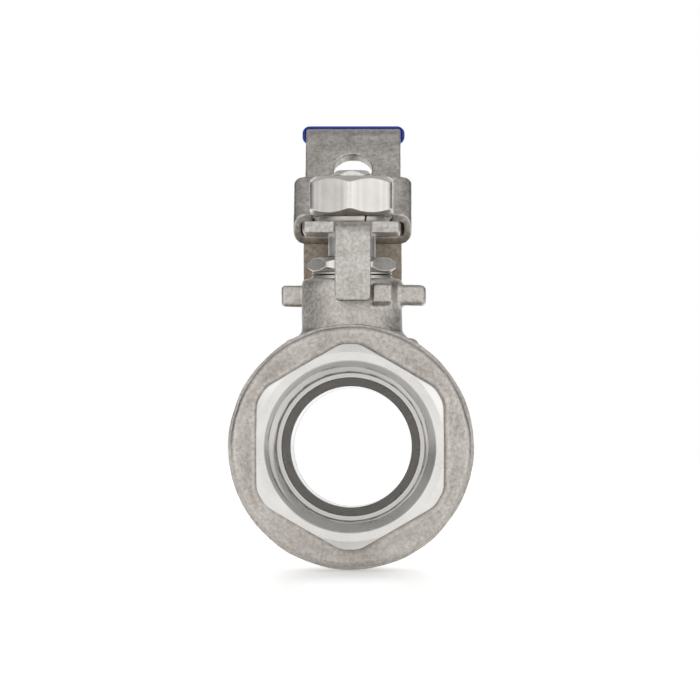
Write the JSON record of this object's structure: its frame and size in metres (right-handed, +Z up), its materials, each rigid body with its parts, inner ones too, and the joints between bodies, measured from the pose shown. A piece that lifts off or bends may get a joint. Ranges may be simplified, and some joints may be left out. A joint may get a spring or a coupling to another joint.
{
  "type": "ball valve",
  "caption": "Two-piece full-port stainless ball valve with female pipe threads, a quarter-turn lever with a vinyl sleeve and a padlockable lock slide.",
  "frame": {"origin": "centre of the ball, where the pipe axis meets the stem axis", "axes": "+Y along the pipe from inlet to outlet, +Z up the stem, +X to the side the lever turns to when it closes; the lever points along +Y at rest (open)"},
  "size_m": [0.0508, 0.1836, 0.101],
  "materials": {
    "cast_steel": "blasted investment casting with machined end faces",
    "polished_steel": "ground and polished",
    "turned_steel": "turned and faced",
    "sheet_steel": "stamped sheet, tumbled",
    "spring_steel": "plain spring steel",
    "blue_vinyl": "soft dipped vinyl, satin gloss",
    "ptfe": "plain PTFE",
    "seal_rubber": "moulded fluoroelastomer"
  },
  "bodies": {
    "valve_casing": {"valve_body": "cast_steel", "end_cap": "cast_steel", "body_gasket": "ptfe", "seat_ring_inlet": "ptfe", "seat_ring_outlet": "ptfe", "thrust_washer": "ptfe", "packing_ring_lower": "ptfe", "packing_ring_middle": "ptfe", "packing_ring_upper": "ptfe", "gland_ring": "turned_steel"},
    "lever_and_ball": {"ball": "polished_steel", "stem": "turned_steel", "stem_o_ring": "seal_rubber", "disc_spring_lower": "spring_steel", "disc_spring_upper": "spring_steel", "gland_nut": "turned_steel", "lever": "sheet_steel", "lever_sleeve": "blue_vinyl", "spring_washer": "spring_steel", "lever_nut": "turned_steel"},
    "lock_slide": {"lock_slide": "sheet_steel"}
  },
  "joints": [
    {"name": "lever_turn", "type": "hinge", "parent": "valve_casing", "child": "lever_and_ball", "pos_m": [0, 0, 0], "axis": [0, 0, -1], "range_deg": [0, 90]},
    {"name": "lock_slide_travel", "type": "slide", "parent": "lever_and_ball", "child": "lock_slide", "axis": [0, -0.6157, -0.788], "range_m": [0, 0.0035]}
  ]
}
